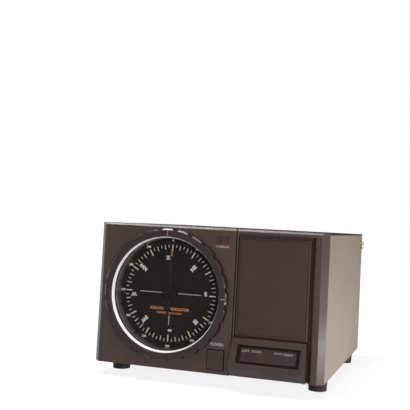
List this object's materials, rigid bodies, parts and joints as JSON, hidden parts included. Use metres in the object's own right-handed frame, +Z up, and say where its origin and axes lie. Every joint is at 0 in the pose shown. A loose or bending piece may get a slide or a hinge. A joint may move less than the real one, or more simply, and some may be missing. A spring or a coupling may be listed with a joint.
{
  "type": "antenna rotator controller",
  "caption": "Desktop antenna rotator control box: round direction meter with a turning index ring, overlap lamp, power button and a rocking left and right key on a sloped housing.",
  "frame": {"origin": "on the surface that the feet stand on, under the middle of the box that holds the whole part", "axes": "+X to the right seen from the front, +Y from the front face towards the rear, +Z up"},
  "size_m": [0.2052, 0.226, 0.13],
  "materials": {
    "bezel_moulding": "fine grained",
    "panel_moulding": "fine grained",
    "housing_moulding": "fine grained",
    "plated_steel": "zinc plated",
    "dark_paint": "fine textured paint",
    "side_paint": "satin taupe paint",
    "lid_paint": "fine textured paint",
    "brass_screw": "polished",
    "steel_screw": "plated",
    "foot_rubber": "matte",
    "ring_acrylic": "gloss",
    "clear_lens": "clear",
    "rim_plastic": "gloss",
    "dial_print": "printed",
    "pointer_paint": "matte with a red tip",
    "hub_plastic": "satin",
    "shaft_steel": "ground",
    "magnet_ferrite": "sintered",
    "black_plastic": "moulded",
    "former_plastic": "moulded",
    "copper_wire": "enamelled copper",
    "bush_brass": "turned",
    "lamp_glass": "clear",
    "window_plastic": "smoked",
    "red_lens": "translucent",
    "button_moulding": "fine grained",
    "spring_steel": "bright wire",
    "key_moulding": "fine grained",
    "board_laminate": "paper laminate",
    "core_iron": "laminated",
    "coil_tape": "taped",
    "component_plastic": "moulded",
    "capacitor_can": "satin",
    "nickel_shell": "nickel plated",
    "insert_plastic": "moulded",
    "cap_plastic": "moulded",
    "nut_brass": "nickel free"
  },
  "bodies": {
    "cabinet": {"front_bezel": "bezel_moulding", "blank_panel": "panel_moulding", "switch_housing": "housing_moulding", "base_pan": "plated_steel", "rear_panel": "dark_paint", "side_panel_left": "side_paint", "side_panel_right": "side_paint", "top_cover": "lid_paint", "side_screws": "brass_screw", "rear_screws": "steel_screw", "underside_screws": "steel_screw", "inner_screws": "steel_screw", "foot_front_left": "foot_rubber", "foot_front_right": "foot_rubber", "foot_rear_left": "foot_rubber", "foot_rear_right": "foot_rubber", "meter_lens": "clear_lens", "meter_rim": "rim_plastic", "dial_plate": "dial_print", "meter_case": "black_plastic", "coil_former": "former_plastic", "crossed_windings": "copper_wire", "bearing_bushes": "bush_brass", "dial_lamps": "lamp_glass", "overlap_window": "window_plastic", "overlap_lens": "red_lens", "overlap_led": "red_lens", "power_spring": "spring_steel", "power_switch_body": "black_plastic", "switch_bracket": "plated_steel", "key_pivot_pin": "shaft_steel", "direction_switch_body": "black_plastic", "switch_board": "board_laminate", "transformer_core": "core_iron", "transformer_coil": "coil_tape", "transformer_frame": "plated_steel", "main_board": "board_laminate", "board_parts": "component_plastic", "motor_capacitor": "capacitor_can", "capacitor_clamp": "plated_steel", "rotor_socket": "nickel_shell", "socket_insert": "insert_plastic", "mains_inlet": "black_plastic", "inlet_pins": "nickel_shell", "fuse_holder": "black_plastic", "ground_stud": "steel_screw", "adjuster_body": "component_plastic"},
    "pointer_set": {"pointer": "pointer_paint", "pointer_hub": "hub_plastic", "pointer_shaft": "shaft_steel", "rotor_magnet": "magnet_ferrite"},
    "ring": {"index_ring": "ring_acrylic"},
    "button": {"power_button": "button_moulding", "power_plunger": "former_plastic"},
    "rocker": {"direction_key": "key_moulding"},
    "slider": {"direction_slider": "black_plastic"},
    "fuse_drawer": {"fuse_cap": "cap_plastic", "fuse_link": "lamp_glass"},
    "thumb_nut": {"ground_nut": "nut_brass"},
    "adjuster": {"adjuster_shaft": "former_plastic"}
  },
  "joints": [
    {"name": "pointer_turn", "type": "hinge", "parent": "cabinet", "child": "pointer_set", "pos_m": [-0.0357, -0.0954, 0.07255], "axis": [0, 1, 0], "range_deg": [0, 450]},
    {"name": "index_ring_turn", "type": "hinge", "parent": "cabinet", "child": "ring", "pos_m": [-0.0357, -0.103, 0.07255], "axis": [0, 1, 0], "continuous": true},
    {"name": "power_press", "type": "slide", "parent": "cabinet", "child": "button", "axis": [0, 1, 0], "range_m": [0, 0.003], "stiffness_N_per_m": 400, "springref_m": -0.002, "deforming": ["power_spring"]},
    {"name": "direction_rock", "type": "hinge", "parent": "cabinet", "child": "rocker", "pos_m": [0.056, -0.10551, 0.0291], "axis": [0, 0.3672, 0.9302], "range_deg": [-4, 4], "stiffness_Nm_per_rad": 0.3},
    {"name": "direction_slide", "type": "slide", "parent": "cabinet", "child": "slider", "axis": [1, 0, 0], "range_m": [-0.00095, 0.00095]},
    {"name": "fuse_pull", "type": "slide", "parent": "cabinet", "child": "fuse_drawer", "axis": [0, 1, 0], "range_m": [0, 0.038]},
    {"name": "ground_nut_turn", "type": "hinge", "parent": "cabinet", "child": "thumb_nut", "pos_m": [0.026, 0.1, 0.035], "axis": [0, 1, 0], "continuous": true},
    {"name": "adjuster_turn", "type": "hinge", "parent": "cabinet", "child": "adjuster", "pos_m": [-0.016, 0.081, 0.0278], "axis": [0, 1, 0], "range_deg": [-135, 135]}
  ],
  "couplings": [
    {"joint": "direction_slide", "follows": "direction_rock", "m_per_rad": -0.013}
  ]
}
